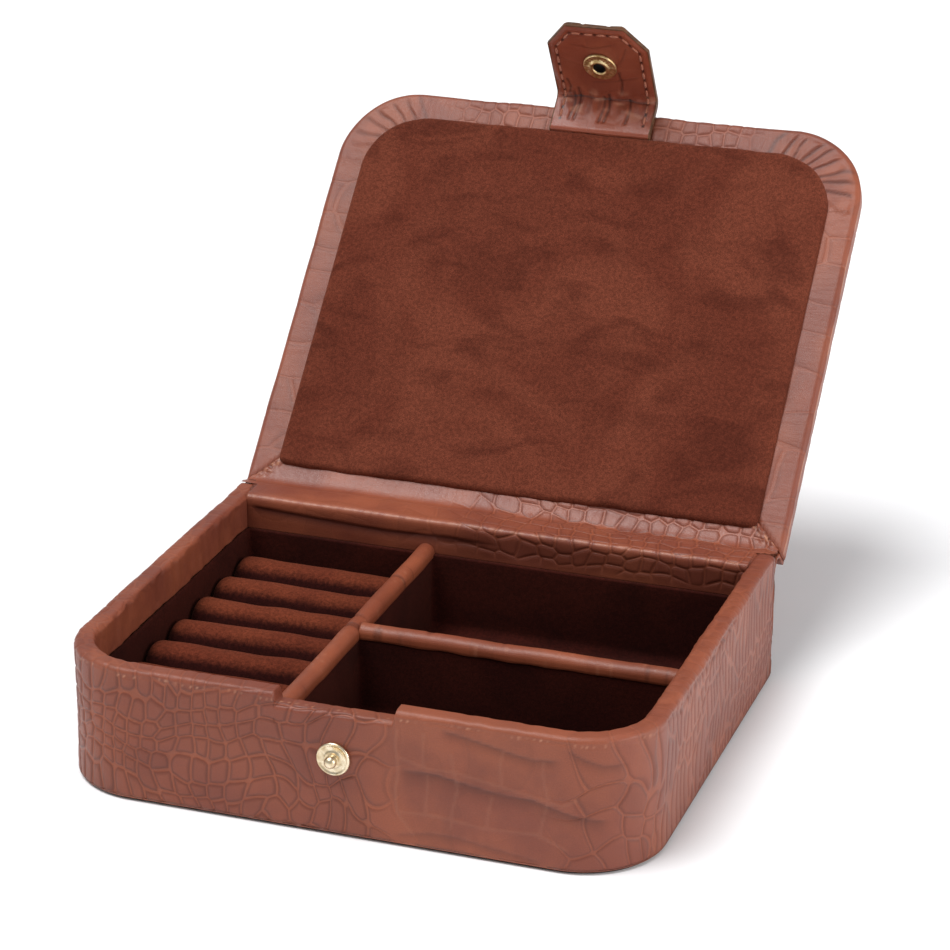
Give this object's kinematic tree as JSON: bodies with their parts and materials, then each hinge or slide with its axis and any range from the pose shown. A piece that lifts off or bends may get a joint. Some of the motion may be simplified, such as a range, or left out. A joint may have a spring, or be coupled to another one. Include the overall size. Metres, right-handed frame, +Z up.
{
  "type": "leather jewellery case",
  "caption": "Leather-covered jewellery case: open tray with ring rolls and suede bays, padded lid on a leather hinge, and a tab that snaps onto the front.",
  "frame": {"origin": "centre of the tray's underside, on the surface that it stands on", "axes": "+X to the right, +Y from the front towards the hinge, +Z up"},
  "size_m": [0.1812, 0.2661, 0.1806],
  "materials": {
    "croc_leather": "chestnut leather embossed with reptile scales, semi-gloss",
    "hinge_leather": "the same embossed leather, worn a little lighter where it folds",
    "plain_leather": "smooth chestnut leather edging, semi-gloss",
    "tab_leather": "creased chestnut leather with a painted edge",
    "panel_suede": "short-napped brown suede with brushed marks",
    "bay_suede": "dark brown suede",
    "roll_suede": "dark brown suede on foam rolls",
    "base_cloth": "near-black cloth under the tray",
    "board": "raw fibreboard, hidden",
    "card": "raw stiff card, hidden",
    "wadding": "soft wadding, hidden",
    "thread": "brown waxed thread",
    "brass": "lightly aged brass",
    "pale_brass": "pale gold plated, with fine radial grooves"
  },
  "bodies": {
    "tray": {"bottom_cover": "base_cloth", "bottom_board": "board", "wall_frame": "board", "back_wall_board": "board", "wall_leather": "croc_leather", "hinge_leather_tray": "hinge_leather", "spine_board": "card", "spine_leather": "croc_leather", "ring_bay_liner": "bay_suede", "rear_bay_liner": "bay_suede", "front_bay_liner": "bay_suede", "long_divider_board": "board", "long_divider_cap": "plain_leather", "cross_divider_board": "board", "cross_divider_cap": "plain_leather", "ring_roll_1": "roll_suede", "ring_roll_2": "roll_suede", "ring_roll_3": "roll_suede", "ring_roll_4": "roll_suede", "ring_roll_5": "roll_suede", "ring_roll_6": "roll_suede", "ring_roll_7": "roll_suede", "stud": "pale_brass", "stud_rivet": "pale_brass"},
    "lid": {"lid_board": "board", "lid_padding": "wadding", "lid_leather": "croc_leather", "lid_panel": "panel_suede", "hinge_leather_lid": "hinge_leather", "tab_root": "tab_leather"},
    "tab": {"tab_inner_leather": "tab_leather", "tab_outer_leather": "tab_leather", "tab_stitching": "thread", "snap_socket": "brass", "snap_cap": "pale_brass"}
  },
  "joints": [
    {"name": "lid_hinge", "type": "hinge", "parent": "tray", "child": "lid", "pos_m": [0, 0.07765, 0.0411], "axis": [1, 0, 0], "range_deg": [0, 134.4]},
    {"name": "tab_bend", "type": "hinge", "parent": "lid", "child": "tab", "pos_m": [-0.001, 0.18582, 0.15085], "axis": [1, 0, 0], "range_deg": [-77, 13]}
  ]
}
